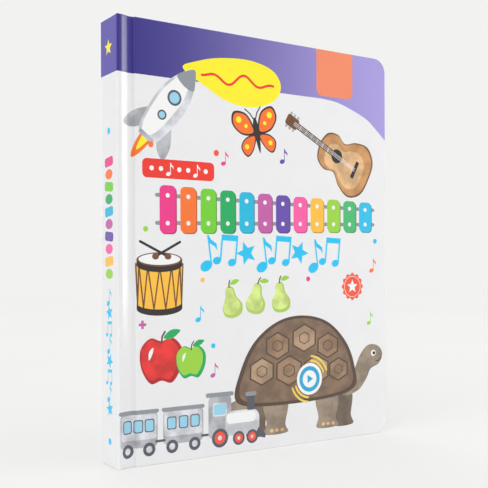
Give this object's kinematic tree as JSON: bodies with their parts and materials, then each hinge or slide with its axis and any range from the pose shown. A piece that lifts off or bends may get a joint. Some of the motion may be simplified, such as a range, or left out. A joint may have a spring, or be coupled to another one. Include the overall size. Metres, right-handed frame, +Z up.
{
  "type": "sound book",
  "caption": "Closed hardback children's sound book with hinged covers, card pages and a battery sound module in its back cover.",
  "frame": {"origin": "centre of the closed book's footprint, on the surface that it stands on", "axes": "+Z up, +X from the spine to the fore edge, the front cover faces -Y"},
  "size_m": [0.225, 0.025, 0.285],
  "materials": {
    "print": "gloss laminated print",
    "greyboard": "matt",
    "paper": "matt",
    "pages": "satin coated card",
    "carrier_board": "matt",
    "film": "smooth film",
    "white_plastic": "fine satin moulding",
    "blue_plastic": "smooth moulding",
    "orange_plastic": "smooth moulding",
    "black_plastic": "matt moulding",
    "circuit": "solder resist",
    "steel": "nickel plated",
    "battery_case": "printed sleeve",
    "foam": "open foam",
    "speaker_paper": "pressed paper cone",
    "red_wire": "insulation",
    "black_wire": "insulation"
  },
  "bodies": {
    "spine": {"spine_wrap": "print", "spine_board": "greyboard", "spine_lining": "paper", "page_block": "pages", "guard_strip": "greyboard"},
    "front_cover": {"front_wrap": "print", "front_board": "greyboard", "front_pastedown": "paper"},
    "back_cover": {"back_wrap": "print", "back_board": "greyboard", "module_carrier": "carrier_board", "touch_membrane": "film", "back_lining": "paper", "module_housing": "white_plastic", "module_base": "white_plastic", "housing_screw_1": "steel", "housing_screw_2": "steel", "housing_screw_3": "steel", "housing_screw_4": "steel", "battery_door": "white_plastic", "door_screw": "steel", "battery_1": "battery_case", "battery_2": "battery_case", "battery_3": "battery_case", "contact_spring_1": "steel", "contact_spring_2": "steel", "contact_spring_3": "steel", "contact_negative": "steel", "contact_link_fore": "steel", "contact_link_spine": "steel", "contact_positive": "steel", "circuit_board": "circuit", "board_screw_1": "steel", "board_screw_2": "steel", "sound_chip": "black_plastic", "tail_connector": "black_plastic", "membrane_tail": "film", "speaker_gasket": "foam", "speaker_basket": "steel", "speaker_cone": "speaker_paper", "speaker_magnet": "steel", "speaker_wire_red": "red_wire", "speaker_wire_black": "black_wire", "battery_wire_red": "red_wire", "battery_wire_black": "black_wire", "power_switch": "steel", "volume_down_switch": "black_plastic", "volume_up_switch": "black_plastic"},
    "power_knob": {"power_knob": "orange_plastic"},
    "volume_down": {"volume_down_button": "blue_plastic"},
    "volume_up": {"volume_up_button": "blue_plastic"}
  },
  "joints": [
    {"name": "front_cover_hinge", "type": "hinge", "parent": "spine", "child": "front_cover", "pos_m": [-0.1055, -0.0122, 0], "axis": [0, 0, -1], "range_deg": [0, 180]},
    {"name": "back_cover_hinge", "type": "hinge", "parent": "spine", "child": "back_cover", "pos_m": [-0.1055, 0.0122, 0], "axis": [0, 0, 1], "range_deg": [0, 180]},
    {"name": "power_slide", "type": "slide", "parent": "back_cover", "child": "power_knob", "axis": [1, 0, 0], "range_m": [0, 0.004]},
    {"name": "volume_down_press", "type": "slide", "parent": "back_cover", "child": "volume_down", "axis": [0, -1, 0], "range_m": [0, 0.0008], "stiffness_N_per_m": 500},
    {"name": "volume_up_press", "type": "slide", "parent": "back_cover", "child": "volume_up", "axis": [0, -1, 0], "range_m": [0, 0.0008], "stiffness_N_per_m": 500}
  ]
}
